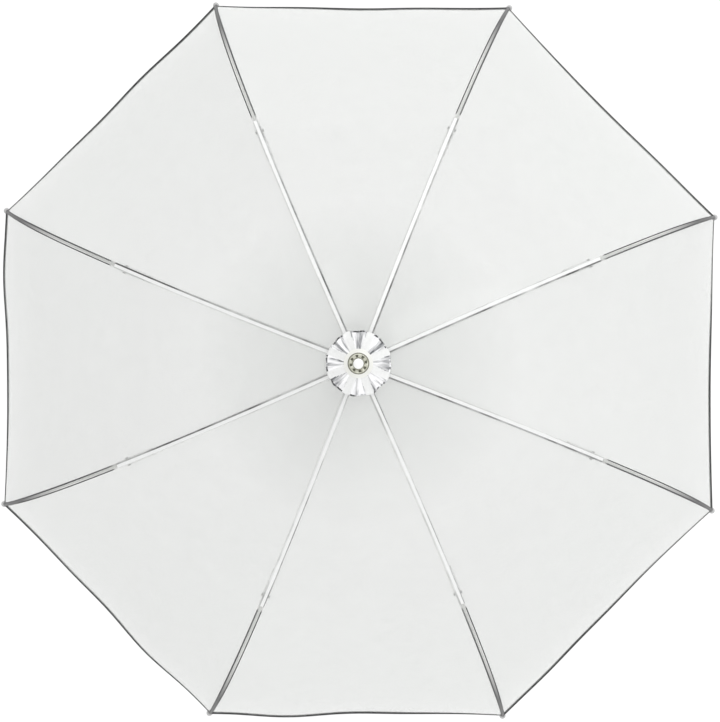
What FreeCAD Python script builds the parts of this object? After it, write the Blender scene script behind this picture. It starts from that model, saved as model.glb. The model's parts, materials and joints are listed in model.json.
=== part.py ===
# Clear dome umbrella, standing open on its handle.
# Millimetres and degrees. +Z is up the shaft. The origin is at the middle of the grip, on the shaft's axis.
# Each rib is drawn in its own rib frame: x out from the shaft, y square to the rib in plan, z up from the
# rib pivots. Each film panel is drawn in the same way about the middle of its gore.

import FreeCAD, Part
import math
import os

# Linkage. The inner rib's chord and the stretcher have one length, and their pivots one radius, so that
# the runner stays on the shaft at every angle.
rib_count = 8
pivot_radius = 9.0
stretcher_length = 300.0
inner_slope = 32.0
inner_turn = 28.0
outer_length = 336.0
outer_turn = 30.0
rib_bow = 5.9
closed_slope = 87.5

# Shaft and handle
shaft_radius = 4.0
shaft_wall = 0.6
shaft_in_grip = 88.0
grip_radius = 13.5
grip_below = 58.0
grip_above = 54.0
grip_bottom_round = 6.0
grip_top_round = 2.0
collar_radius = 9.0
collar_top_radius = 6.0
collar_height = 16.0
hand_room = 86.0

# Ribs, stretchers and rods
rib_width = 3.6
rib_height = 2.4
rib_wall = 0.5
rib_eye_radius = 2.1
eye_thickness = 1.2
eye_reach = 7.0
eye_overlap = 5.0
stretcher_width = 2.8
stretcher_height = 2.2
stretcher_wall = 0.5
fork_length = 34.0
fork_thickness = 0.6
fork_bridge = 4.0
fork_end_radius = 2.2
rivet_radius = 1.0
rivet_head_radius = 1.6
rivet_head = 0.5
sleeve_wall = 0.55
sleeve_inner = 8.0
sleeve_outer = 14.0
sleeve_core = 2.4
rod_radius = 1.5
rod_end_radius = 1.7
tip_radius = 2.8
tip_length = 10.0
tip_beyond_rod = 4.0

# Crown notch, runner and their wires
wire_radius = 0.5
hub_radius = 11.8
notch_below = 3.5
notch_above = 4.5
slot_roof = 2.6
slot_start = 6.5
hub_flange = 3.5
runner_neck_radius = 6.8
runner_neck = 10.0
runner_waist_radius = 7.4
runner_thumb_radius = 9.2
runner_thumb = 5.0
runner_below = 34.0

# Catches
catch_width = 2.0
catch_reach = 1.6
catch_depth = 2.2
catch_length = 14.0
catch_leaf = 10.0

# Film, rosette, cap and ferrule
film_thickness = 0.3
film_gap = 7.5
hem_gap = 3.0
rosette_radius = 33.0
cap_flange_radius = 15.0
cap_flange = 1.2
cap_boss_radius = 10.0
cap_boss = 4.0
ferrule_radius = 5.2
ferrule_length = 36.0
ferrule_round = 4.0
ferrule_socket = 16.0

# Clearances
wire_clearance = 0.1
seat_clearance = 0.03
slide_clearance = 0.08
side_clearance = 0.3
pin_clearance = 0.05
rib_in_sleeve = 0.14
rod_end_clearance = 0.2
catch_gap = 0.3
keyway_clearance = 0.3

gore_half = 180 / rib_count
side_axis = FreeCAD.Vector(0, 1, 0)
up_axis = FreeCAD.Vector(0, 0, 1)


def tangent(slope):
    """Unit vector in the radial plane, going out and down at this slope."""
    angle = math.radians(slope)
    return FreeCAD.Vector(math.cos(angle), 0, -math.sin(angle))


def outward(slope):
    """Unit vector square to tangent(slope), pointing out of the dome."""
    angle = math.radians(slope)
    return FreeCAD.Vector(math.sin(angle), 0, math.cos(angle))


class Arc:
    """An arc from start to end that turns by a given angle about an axis through its centre."""

    def __init__(self, start, end, turn, axis):
        chord = end - start
        half = math.radians(turn) / 2
        toward_centre = axis.cross(chord)
        toward_centre.normalize()
        self.axis = axis
        self.turn = turn
        self.radius = chord.Length / 2 / math.sin(half)
        self.start = start
        self.centre = (start + end) * 0.5 + toward_centre * (self.radius * math.cos(half))
        self.length = self.radius * math.radians(turn)

    def angle(self, along):
        return math.degrees(along / self.radius)

    def point(self, along):
        spin = FreeCAD.Rotation(self.axis, self.angle(along))
        return self.centre + spin.multVec(self.start - self.centre)

    def out(self, along):
        arm = self.point(along) - self.centre
        arm.normalize()
        return arm

    def heading(self, along):
        return self.axis.cross(self.out(along))

    def sweep(self, outline, begin, end):
        """Solid of an outline of (out, side) points, carried along the arc."""
        at, out = self.point(begin), self.out(begin)
        corners = [at + out * u + self.axis * v for u, v in outline]
        face = Part.Face(Part.makePolygon(corners + corners[:1]))
        return face.revolve(self.centre, self.axis, self.angle(end - begin))

    def sweep_round(self, radius, begin, end):
        circle = Part.Circle(self.point(begin), self.heading(begin), radius)
        face = Part.Face(Part.Wire(circle.toShape()))
        return face.revolve(self.centre, self.axis, self.angle(end - begin))


# Rib line, in the rib frame
outer_slope = inner_slope + (inner_turn + outer_turn) / 2
crown_slope = inner_slope - inner_turn / 2
joint_slope = inner_slope + inner_turn / 2
rib_pivot = FreeCAD.Vector(pivot_radius, 0, 0)
flat_joint = rib_pivot + tangent(inner_slope) * stretcher_length
joint_pivot = flat_joint + side_axis * rib_bow
rib_tip = flat_joint + tangent(outer_slope) * outer_length
rib_plane = (joint_pivot - rib_pivot).cross(rib_tip - rib_pivot)
rib_plane.normalize()
inner_arc = Arc(rib_pivot, joint_pivot, inner_turn, rib_plane)
joint_heading = inner_arc.heading(inner_arc.length)
rod_pivot = joint_pivot + joint_heading * sleeve_outer
rod_turn = 2 * math.degrees(joint_heading.getAngle(rib_tip - rod_pivot))
outer_arc = Arc(rod_pivot, rib_tip, rod_turn, rib_plane)
runner_drop = 2 * stretcher_length * math.sin(math.radians(inner_slope))
closed_drop = 2 * stretcher_length * math.sin(math.radians(closed_slope))
runner_pivot = FreeCAD.Vector(pivot_radius, 0, -runner_drop)

# Heights above the origin
collar_top = grip_above + collar_height
notch_height = collar_top + hand_room + runner_below + closed_drop
runner_height = notch_height - runner_drop
closed_runner_height = notch_height - closed_drop

# Crown stack, above the rib pivots
rosette_offset = film_gap + film_thickness + side_clearance
cap_offset = rosette_offset + film_thickness + side_clearance
crown_fall = math.tan(math.radians(crown_slope))


def crown_line(offset, radius):
    """Height, at a radius, of the cone that lies this far outside the ribs where they leave the crown."""
    foot = rib_pivot + outward(crown_slope) * offset
    return foot.z - (radius - foot.x) * crown_fall


cap_top = crown_line(cap_offset, cap_boss_radius) + cap_flange + cap_boss
ferrule_foot = cap_top + side_clearance
shaft_top = ferrule_foot + ferrule_socket
seat_radius = shaft_radius + seat_clearance
eye_hole = wire_radius + wire_clearance
slot_half = eye_thickness / 2 + side_clearance
catch_tip = shaft_radius + catch_reach
sleeve_bore = math.hypot(rib_width, rib_height) / 2 + rib_in_sleeve
sleeve_radius = sleeve_bore + sleeve_wall
fork_inside = sleeve_radius + side_clearance
fork_outside = fork_inside + fork_thickness


def rib_azimuth(number):
    return gore_half + (number - 1) * 2 * gore_half


def gore_azimuth(number):
    return number * 2 * gore_half


def stand(shape, azimuth):
    """Moves a shape from a rib's or a gore's frame to its place on the umbrella."""
    placed = shape.copy()
    placed.rotate(FreeCAD.Vector(0, 0, 0), up_axis, azimuth)
    placed.translate(up_axis * notch_height)
    return placed


def turned(profile):
    """Solid of revolution about the shaft's axis, from (radius, height) points."""
    points = [FreeCAD.Vector(r, 0, z) for r, z in profile]
    face = Part.Face(Part.makePolygon(points + points[:1]))
    return face.revolve(FreeCAD.Vector(0, 0, 0), up_axis, 360)


def channel(width, height, wall):
    """Outline of a channel that is open on its inner side, as (out, side) points."""
    side, top = width / 2, height / 2
    return [
        (-top, -side),
        (top, -side),
        (top, side),
        (-top, side),
        (-top, side - wall),
        (top - wall, side - wall),
        (top - wall, wall - side),
        (-top, wall - side),
    ]


def eye(at, slope, radius, height, hole):
    """Flat eye in the radial plane: a disc with a hole at a pivot, and a tab that leaves it at a slope."""
    half = eye_thickness / 2
    base = at - side_axis * half
    disc = Part.makeCylinder(radius, eye_thickness, base, side_axis)
    along, across = tangent(slope), outward(slope) * (height / 2)
    far = base + along * (eye_reach + eye_overlap)
    corners = [base + across, far + across, far - across, base - across]
    tab = Part.Face(Part.makePolygon(corners + corners[:1])).extrude(side_axis * eye_thickness)
    bore = Part.makeCylinder(hole, 2 * eye_thickness, at - side_axis * eye_thickness, side_axis)
    return disc.fuse(tab).cut(bore)


def inner_rib():
    section = channel(rib_width, rib_height, rib_wall)
    body = inner_arc.sweep(section, eye_reach, inner_arc.length - sleeve_core)
    tab = eye(rib_pivot, crown_slope, rib_eye_radius, rib_height - rib_wall, eye_hole)
    return body.fuse(tab).removeSplitter()


def rib_joint():
    """Sleeve that the rib's end sits in, its cross rivet, and the cup at its outer end for the rod."""
    foot = joint_pivot - joint_heading * sleeve_inner
    length = sleeve_inner + sleeve_outer
    sleeve = Part.makeCylinder(sleeve_radius, length, foot, joint_heading)
    pocket = Part.makeCylinder(sleeve_bore, sleeve_inner - sleeve_core + rib_wall, foot, joint_heading)
    cup = Part.makeSphere(rod_end_radius + rod_end_clearance, rod_pivot)
    reach = fork_outside + pin_clearance
    hole = Part.makeCylinder(rivet_radius, 2 * reach, joint_pivot - side_axis * reach, side_axis)
    rivet = hole.copy()
    for side in (-1, 1):
        head_foot = joint_pivot + side_axis * (side * reach)
        head = Part.makeCylinder(rivet_head_radius, rivet_head, head_foot, side_axis * side)
        rivet = rivet.fuse(head)
    return Part.Compound([sleeve.cut(pocket).cut(cup).cut(hole), rivet])


def outer_rod():
    """Rod with a ball at its inner end, and the cap on its rim end."""
    rod = outer_arc.sweep_round(rod_radius, 0, outer_arc.length)
    ball = Part.makeSphere(rod_end_radius, rod_pivot)
    heading = outer_arc.heading(outer_arc.length)
    cap_foot = rib_tip - heading * (tip_length - tip_beyond_rod)
    cap = Part.makeCylinder(tip_radius, tip_length - tip_radius, cap_foot, heading)
    dome = Part.makeSphere(tip_radius, cap_foot + heading * (tip_length - tip_radius))
    socket = outer_arc.sweep_round(
        rod_radius + seat_clearance, outer_arc.length - tip_length, outer_arc.length + seat_clearance
    )
    return Part.Compound([rod.fuse(ball), cap.fuse(dome).cut(socket)])


def stretcher():
    """Straight channel from the runner's eye to the fork that straddles the rib's sleeve."""
    line = joint_pivot - runner_pivot
    length = line.Length
    line.normalize()
    across = side_axis - line * side_axis.dot(line)
    across.normalize()
    out = line.cross(across) * -1
    start = runner_pivot + line * eye_reach
    section = channel(stretcher_width, stretcher_height, stretcher_wall)
    corners = [start - out * u + across * v for u, v in section]
    face = Part.Face(Part.makePolygon(corners + corners[:1]))
    body = face.extrude(line * (length - eye_reach - fork_length + fork_bridge / 2))
    tab = eye(runner_pivot, -inner_slope, rib_eye_radius, stretcher_height - stretcher_wall, eye_hole)
    rise = tangent(180 - inner_slope)
    high = FreeCAD.Vector(-rise.z, 0, rise.x) * (stretcher_height / 2)
    inner_end = joint_pivot + rise * fork_length
    cheeks = []
    for side in (-1, 1):
        low_side = side * fork_inside if side > 0 else -fork_outside
        shift = side_axis * low_side
        plate = [joint_pivot + high, inner_end + high, inner_end - high, joint_pivot - high]
        plate = [p + shift for p in plate]
        strip = Part.Face(Part.makePolygon(plate + plate[:1])).extrude(side_axis * fork_thickness)
        disc = Part.makeCylinder(fork_end_radius, fork_thickness, joint_pivot + shift, side_axis)
        cheeks.append(strip.fuse(disc))
    bridge_near = inner_end - rise * fork_bridge
    block = [bridge_near + high, inner_end + high, inner_end - high, bridge_near - high]
    block = [p - side_axis * fork_outside for p in block]
    bridge = Part.Face(Part.makePolygon(block + block[:1])).extrude(side_axis * (2 * fork_outside))
    hole_reach = fork_outside + pin_clearance
    hole = Part.makeCylinder(
        rivet_radius + pin_clearance, 2 * hole_reach, joint_pivot - side_axis * hole_reach, side_axis
    )
    return body.fuse([tab, bridge] + cheeks).cut(hole).removeSplitter()


def film_points(offset, rim_offset):
    """Points of the gore's middle line, this far outside the ribs: crown, mid, joint, mid, rim."""
    rim = outer_arc.length - (tip_length - tip_beyond_rod) - side_clearance
    stations = [
        (inner_arc, 0, offset),
        (inner_arc, inner_arc.length / 2, offset),
        (inner_arc, inner_arc.length, offset),
        (outer_arc, outer_arc.length / 2, (offset + rim_offset) / 2),
        (outer_arc, rim, rim_offset),
    ]
    squeeze = math.cos(math.radians(gore_half))
    points = []
    for arc, along, gap in stations:
        corner = arc.point(along) + arc.out(along) * gap
        points.append(FreeCAD.Vector(corner.x * squeeze, 0, corner.z))
    return points


def gore_wedge():
    """Everything between the two ribs of a gore, short of them by half a clearance."""
    reach = 2 * (stretcher_length + outer_length)
    start = side_clearance / 2 / math.sin(math.radians(gore_half))
    spread = (reach - start) * math.tan(math.radians(gore_half))
    corners = [
        FreeCAD.Vector(start, 0, -reach),
        FreeCAD.Vector(reach, spread, -reach),
        FreeCAD.Vector(reach, -spread, -reach),
    ]
    return Part.Face(Part.makePolygon(corners + corners[:1])).extrude(up_axis * (2 * reach))


def panel(inside, outside):
    """Film between two three-point arcs, flat across the gore."""
    half_width = pivot_radius + stretcher_length + outer_length
    edges = [
        Part.Arc(*inside).toShape(),
        Part.LineSegment(inside[2], outside[2]).toShape(),
        Part.Arc(*reversed(outside)).toShape(),
        Part.LineSegment(outside[0], inside[0]).toShape(),
    ]
    face = Part.Face(Part.Wire(edges))
    face.translate(side_axis * -half_width)
    return face.extrude(side_axis * (2 * half_width)).common(gore_wedge())


def panels():
    """The upper and lower film of one gore, with a clearance between them at the rib joints' height."""
    inside = film_points(film_gap, hem_gap)
    outside = film_points(film_gap + film_thickness, hem_gap + film_thickness)
    drop = tangent(joint_slope) * side_clearance
    upper = panel(inside[:3], outside[:3])
    lower = panel([inside[2] + drop] + inside[3:], [outside[2] + drop] + outside[3:])
    return upper, lower


def wire_ring(height):
    return Part.makeTorus(pivot_radius, wire_radius, FreeCAD.Vector(0, 0, height), up_axis)


def wire_groove(height):
    inside = pivot_radius - wire_radius - pin_clearance
    half = wire_radius + wire_clearance
    outside = 2 * hub_radius
    return turned(
        [(inside, height - half), (outside, height - half), (outside, height + half), (inside, height + half)]
    )


def eye_slots(low, high):
    """Eight radial slots for the eyes, from one height to another."""
    slots = []
    for number in range(1, rib_count + 1):
        foot = FreeCAD.Vector(slot_start, -slot_half, low)
        slot = Part.makeBox(hub_radius, 2 * slot_half, high - low, foot)
        slot.rotate(FreeCAD.Vector(0, 0, 0), up_axis, rib_azimuth(number))
        slots.append(slot)
    return slots


def crown_notch():
    low, high = notch_height - notch_below, notch_height + notch_above
    ring = turned([(seat_radius, low), (hub_radius, low), (hub_radius, high), (seat_radius, high)])
    ring = ring.cut(wire_groove(notch_height))
    return ring.cut(eye_slots(low, notch_height + slot_roof))


def runner():
    """Sliding hub: eye flange, neck above it, waist and thumb ring below, and a keyway for the catches."""
    bore = shaft_radius + slide_clearance
    pivot = runner_height
    foot = pivot - runner_below
    body = turned(
        [
            (bore, foot),
            (runner_thumb_radius, foot),
            (runner_thumb_radius, foot + runner_thumb),
            (runner_waist_radius, foot + 2 * runner_thumb),
            (runner_waist_radius, pivot - 2 * hub_flange),
            (hub_radius, pivot - hub_flange),
            (hub_radius, pivot + hub_flange),
            (runner_neck_radius, pivot + hub_flange),
            (runner_neck_radius, pivot + runner_neck),
            (bore, pivot + runner_neck),
        ]
    )
    key_half = catch_width / 2 + keyway_clearance
    key = Part.makeBox(
        catch_tip + keyway_clearance,
        2 * key_half,
        runner_below + runner_neck,
        FreeCAD.Vector(0, -key_half, foot),
    )
    body = body.cut(wire_groove(pivot)).cut(eye_slots(pivot - slot_roof, pivot + hub_flange))
    return body.cut(key)


def catch(shoulder, way):
    """Sprung tongue. Its flat shoulder faces the runner; way is 1 if it faces up and -1 if it faces down."""
    inner = catch_tip - catch_reach - catch_depth
    profile = [
        (inner, shoulder),
        (catch_tip, shoulder),
        (catch_tip, shoulder - way * catch_length / 4),
        (shaft_radius, shoulder - way * catch_length),
        (inner, shoulder - way * catch_length),
        (inner, shoulder - way * (catch_length + catch_leaf)),
        (inner - shaft_wall, shoulder - way * (catch_length + catch_leaf)),
        (inner - shaft_wall, shoulder),
    ]
    points = [FreeCAD.Vector(x, -catch_width / 2, z) for x, z in profile]
    return Part.Face(Part.makePolygon(points + points[:1])).extrude(side_axis * catch_width)


top_shoulder = runner_height - runner_below - catch_gap
lower_shoulder = closed_runner_height + runner_neck + catch_gap


def catch_window(shoulder, way):
    """Slot in the shaft that a catch comes out of."""
    length = catch_length + 2 * catch_gap
    low = shoulder - length + catch_gap if way > 0 else shoulder - catch_gap
    half = catch_width / 2 + catch_gap
    return Part.makeBox(2 * shaft_radius, 2 * half, length, FreeCAD.Vector(0, -half, low))


def shaft_tube():
    bottom = grip_above - shaft_in_grip
    length = notch_height + shaft_top - bottom
    foot = FreeCAD.Vector(0, 0, bottom)
    tube = Part.makeCylinder(shaft_radius, length, foot, up_axis)
    bore = Part.makeCylinder(shaft_radius - shaft_wall, length, foot, up_axis)
    tube = tube.cut(bore)
    return tube.cut([catch_window(top_shoulder, 1), catch_window(lower_shoulder, -1)])


def top_cap():
    under_inner = crown_line(cap_offset, seat_radius)
    under_outer = crown_line(cap_offset, cap_flange_radius)
    boss_foot = crown_line(cap_offset, cap_boss_radius) + cap_flange
    profile = [
        (seat_radius, under_inner),
        (cap_flange_radius, under_outer),
        (cap_flange_radius, under_outer + cap_flange),
        (cap_boss_radius, boss_foot),
        (cap_boss_radius, cap_top),
        (seat_radius, cap_top),
    ]
    return turned([(r, z + notch_height) for r, z in profile])


def rosette():
    inner = shaft_radius + side_clearance
    profile = [
        (inner, crown_line(rosette_offset, inner)),
        (rosette_radius, crown_line(rosette_offset, rosette_radius)),
        (rosette_radius, crown_line(rosette_offset, rosette_radius) + film_thickness),
        (inner, crown_line(rosette_offset, inner) + film_thickness),
    ]
    return turned([(r, z + notch_height) for r, z in profile])


def rounded(solid, radius, height):
    """Rounds the circular edge of a cylinder at a height."""
    rims = [edge for edge in solid.Edges if edge.Closed and abs(edge.CenterOfMass.z - height) < pin_clearance]
    return solid.makeFillet(radius, rims)


def ferrule_tip():
    low = notch_height + ferrule_foot
    top = low + ferrule_length
    foot = up_axis * low
    body = Part.makeCylinder(ferrule_radius, ferrule_length, foot, up_axis)
    socket = Part.makeCylinder(seat_radius, ferrule_socket + seat_clearance, foot, up_axis)
    return rounded(body, ferrule_round, top).cut(socket)


def handle_grip():
    foot = FreeCAD.Vector(0, 0, -grip_below)
    body = Part.makeCylinder(grip_radius, grip_below + grip_above, foot, up_axis)
    body = rounded(body, grip_bottom_round, -grip_below)
    body = rounded(body, grip_top_round, grip_above)
    seat = FreeCAD.Vector(0, 0, grip_above - shaft_in_grip - seat_clearance)
    return body.cut(Part.makeCylinder(seat_radius, shaft_in_grip + 2 * seat_clearance, seat, up_axis))


def handle_collar():
    foot = grip_above + seat_clearance
    return turned(
        [
            (seat_radius, foot),
            (collar_radius, foot),
            (collar_radius, foot + collar_height / 3),
            (collar_top_radius, collar_top),
            (seat_radius, collar_top),
        ]
    )


def save(name, shape):
    if not shape.isValid() or min(solid.Volume for solid in shape.Solids) <= 0:
        raise ValueError(name + " is not a valid solid")
    shape.exportStep("parts/" + name + ".step")
    print(name, "solids", len(shape.Solids), "volume", round(shape.Volume, 1))


def main():
    os.makedirs("parts", exist_ok=True)
    save("shaft_tube", shaft_tube())
    save("crown_notch", crown_notch())
    save("crown_wire", wire_ring(notch_height))
    save("ferrule_tip", ferrule_tip())
    save("top_cap", top_cap())
    save("rosette", rosette())
    save("runner", runner())
    save("runner_wire", wire_ring(runner_height))
    save("top_catch", catch(top_shoulder, 1))
    save("lower_catch", catch(lower_shoulder, -1))
    save("handle_grip", handle_grip())
    save("handle_collar", handle_collar())
    rib, joint, rod, brace = inner_rib(), rib_joint(), outer_rod(), stretcher()
    upper, lower = panels()
    for number in range(1, rib_count + 1):
        azimuth = rib_azimuth(number)
        save("inner_rib_%d" % number, stand(rib, azimuth))
        save("rib_joint_%d" % number, stand(joint, azimuth))
        save("outer_rod_%d" % number, stand(rod, azimuth))
        save("stretcher_%d" % number, stand(brace, azimuth))
        save("panel_%d_upper" % number, stand(upper, gore_azimuth(number)))
        save("panel_%d_lower" % number, stand(lower, gore_azimuth(number)))


main()
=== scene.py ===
import bpy
import json
import math
from mathutils import Matrix, Vector, noise


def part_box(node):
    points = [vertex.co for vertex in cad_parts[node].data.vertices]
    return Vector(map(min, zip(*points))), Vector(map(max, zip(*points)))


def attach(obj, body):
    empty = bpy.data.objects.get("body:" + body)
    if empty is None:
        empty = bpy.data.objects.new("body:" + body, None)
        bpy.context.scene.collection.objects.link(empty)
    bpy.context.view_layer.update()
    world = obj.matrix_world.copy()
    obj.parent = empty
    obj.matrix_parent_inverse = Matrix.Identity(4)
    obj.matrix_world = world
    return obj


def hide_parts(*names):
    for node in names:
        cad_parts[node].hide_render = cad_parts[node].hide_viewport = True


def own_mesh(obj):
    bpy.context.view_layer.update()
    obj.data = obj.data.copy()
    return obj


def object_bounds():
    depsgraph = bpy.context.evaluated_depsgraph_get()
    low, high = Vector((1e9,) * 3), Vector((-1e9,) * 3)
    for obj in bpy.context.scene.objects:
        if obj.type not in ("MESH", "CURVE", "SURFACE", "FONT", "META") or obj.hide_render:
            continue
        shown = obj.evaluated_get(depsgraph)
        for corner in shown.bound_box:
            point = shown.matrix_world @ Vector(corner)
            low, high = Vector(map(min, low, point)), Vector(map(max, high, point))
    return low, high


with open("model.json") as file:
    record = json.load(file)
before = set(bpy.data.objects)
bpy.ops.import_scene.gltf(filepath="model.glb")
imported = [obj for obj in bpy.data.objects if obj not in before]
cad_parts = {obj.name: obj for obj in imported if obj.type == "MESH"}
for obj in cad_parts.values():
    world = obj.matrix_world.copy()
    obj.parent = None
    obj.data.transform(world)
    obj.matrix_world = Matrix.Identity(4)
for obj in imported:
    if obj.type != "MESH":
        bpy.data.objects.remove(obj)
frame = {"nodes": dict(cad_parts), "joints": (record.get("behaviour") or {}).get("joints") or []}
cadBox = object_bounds()
joints = {joint["name"]: joint for joint in frame["joints"]}
gores = 8
goreStep = math.radians(360 / gores)
up = Vector((0, 0, 1))


def jointPlace(name):
    return Vector(joints[name]["pos_m"])


def turnedAboutShaft(steps):
    return Matrix.Rotation(goreStep * steps, 4, "Z")


# rib line: every film, seam and rod follows it

ribLine = {
    "tipPast": 0.004,  # the tip cap runs on past the rod's end
    "capOver": 0.006,  # and sits over the rod by this much
}


def arcFrom(start, heading, end):
    chord = end - start
    half = heading.angle(chord)
    axis = heading.cross(chord).normalized()
    radius = chord.length / (2 * math.sin(half))
    centre = start + axis.cross(heading).normalized() * radius
    return {"start": start, "heading": heading, "centre": centre, "axis": axis,
            "turn": 2 * half, "length": radius * 2 * half}


def onArc(arc, share):
    spin = Matrix.Rotation(arc["turn"] * share, 3, arc["axis"])
    return arc["centre"] + spin @ (arc["start"] - arc["centre"]), spin @ arc["heading"]


ribPivot = jointPlace("rib_1_fold")
sleevePin = jointPlace("stretcher_1_pivot")
rodPivot = jointPlace("outer_1_flex")
ribSide = Vector(joints["rib_1_fold"]["axis"]).normalized()
sleeveHeading = (rodPivot - sleevePin).normalized()
sleeveLength = (rodPivot - sleevePin).length
innerBack = arcFrom(sleevePin, -sleeveHeading, ribPivot)  # runs from the sleeve back to the hub
capEnd = max((v.co.copy() for v in frame["nodes"]["outer_rod_1"].data.vertices),
             key=lambda place: (place - rodPivot).length)
roughArc = arcFrom(rodPivot, sleeveHeading, capEnd)
rodEnd = capEnd - onArc(roughArc, 1)[1] * ribLine["tipPast"]
outerArc = arcFrom(rodPivot, sleeveHeading, rodEnd)
ribLength = innerBack["length"] + sleeveLength + outerArc["length"]
print("rib line", round(ribLength, 4), "rod end", [round(c, 4) for c in rodEnd],
      "radius", round(math.hypot(rodEnd.x, rodEnd.y), 4))


def ribPoint(distance):
    # place and outward heading at a distance from the rib's pivot
    inner = innerBack["length"]
    if distance <= inner:
        place, heading = onArc(innerBack, 1 - distance / inner)
        return place, -heading
    if distance <= inner + sleeveLength:
        return sleevePin + sleeveHeading * (distance - inner), sleeveHeading
    return onArc(outerArc, (distance - inner - sleeveLength) / outerArc["length"])


def outOf(heading):
    return (heading - ribSide * heading.dot(ribSide)).cross(ribSide).normalized()


# making and finishing meshes

def clearSelection():
    if bpy.context.mode != "OBJECT":
        bpy.ops.object.mode_set(mode="OBJECT")
    bpy.ops.object.select_all(action="DESELECT")


def openForEdit():
    bpy.ops.object.mode_set(mode="EDIT")
    bpy.ops.mesh.select_mode(type="VERT")
    bpy.ops.mesh.select_all(action="SELECT")


def nameIt(name):
    if bpy.context.mode != "OBJECT":
        bpy.ops.object.mode_set(mode="OBJECT")
    piece = bpy.context.active_object
    bpy.ops.object.transform_apply(location=True, rotation=True, scale=True)
    piece.name = name
    piece.data.name = name
    return piece


def closeAndTurnOut():
    bpy.ops.mesh.select_all(action="SELECT")
    bpy.ops.mesh.fill_holes(sides=0)
    bpy.ops.mesh.select_all(action="SELECT")
    bpy.ops.mesh.normals_make_consistent(inside=False)


def smoothByAngle(piece, degrees):
    clearSelection()
    piece.select_set(True)
    bpy.context.view_layer.objects.active = piece
    bpy.ops.object.shade_smooth_by_angle(angle=math.radians(degrees))


def withModifier(piece, kind, **values):
    clearSelection()
    piece.select_set(True)
    bpy.context.view_layer.objects.active = piece
    modifier = piece.modifiers.new(kind.title(), kind)
    for key, value in values.items():
        setattr(modifier, key, value)
    bpy.ops.object.modifier_apply(modifier=modifier.name)


def copyOf(piece, name, matrix):
    twin = piece.copy()
    twin.data = piece.data.copy()
    twin.name = name
    twin.data.name = name
    twin.data.transform(matrix)
    bpy.context.scene.collection.objects.link(twin)
    return twin


def dress(piece, *materials):
    piece.data.materials.clear()
    for material in materials:
        piece.data.materials.append(material)


def turnedPiece(name, outline, sides):
    # outline holds (radius, height), from the foot up
    clearSelection()
    radius, height = outline[0]
    bpy.ops.mesh.primitive_circle_add(vertices=sides, radius=radius, fill_type="NGON",
                                      location=(0, 0, height))
    bpy.ops.object.transform_apply(location=True, rotation=True, scale=True)
    openForEdit()
    for nextRadius, nextHeight in outline[1:]:
        bpy.ops.mesh.extrude_region_move(
            TRANSFORM_OT_translate={"value": (0, 0, nextHeight - height)})
        grow = nextRadius / radius
        bpy.ops.transform.resize(value=(grow, grow, 1), center_override=(0, 0, nextHeight))
        radius, height = nextRadius, nextHeight
    closeAndTurnOut()
    return nameIt(name)


def sectionAt(section, place, side, out):
    # an open ring shaped to the section, ready to be swept
    clearSelection()
    bpy.ops.mesh.primitive_circle_add(vertices=len(section), radius=0.001, fill_type="NOTHING")
    ring = bpy.context.active_object
    for vertex, (across, rise) in zip(ring.data.vertices, section):
        vertex.co = place + side * across + out * rise
    openForEdit()


def sweepAlong(arc, share, steps):
    bpy.ops.mesh.spin(steps=steps, dupli=False, angle=-arc["turn"] * share,
                      center=arc["centre"], axis=arc["axis"])


def layOnAxis(piece, foot, heading):
    lean = up.rotation_difference(heading).to_matrix().to_4x4()
    piece.data.transform(Matrix.Translation(foot) @ lean)


# shared surface effects

def socketed(name, inputs, outputs):
    group = bpy.data.node_groups.new(name, "ShaderNodeTree")
    for label, kind, value in inputs:
        made = group.interface.new_socket(name=label, in_out="INPUT", socket_type=kind)
        if value is not None:
            made.default_value = value
    for label, kind in outputs:
        group.interface.new_socket(name=label, in_out="OUTPUT", socket_type=kind)
    return group, group.nodes.new("NodeGroupInput"), group.nodes.new("NodeGroupOutput")


def mouldedGrain():
    # fine grain of moulded or painted surfaces: a mask for colour and roughness, and a height
    group, entry, leave = socketed(
        "mouldedGrain",
        [("Vector", "NodeSocketVector", None), ("Scale", "NodeSocketFloat", 400.0),
         ("Cloud Scale", "NodeSocketFloat", 30.0)],
        [("Mask", "NodeSocketFloat"), ("Height", "NodeSocketFloat")])
    nodes, links = group.nodes, group.links
    grain = nodes.new("ShaderNodeTexNoise")
    grain.inputs["Detail"].default_value = 4
    cloud = nodes.new("ShaderNodeTexNoise")
    cloud.inputs["Detail"].default_value = 3
    blend = nodes.new("ShaderNodeMix")
    blend.inputs["Factor"].default_value = 0.45
    links.new(entry.outputs["Vector"], grain.inputs["Vector"])
    links.new(entry.outputs["Vector"], cloud.inputs["Vector"])
    links.new(entry.outputs["Scale"], grain.inputs["Scale"])
    links.new(entry.outputs["Cloud Scale"], cloud.inputs["Scale"])
    links.new(cloud.outputs["Fac"], blend.inputs["A"])
    links.new(grain.outputs["Fac"], blend.inputs["B"])
    links.new(blend.outputs["Result"], leave.inputs["Mask"])
    links.new(grain.outputs["Fac"], leave.inputs["Height"])
    return group


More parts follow.
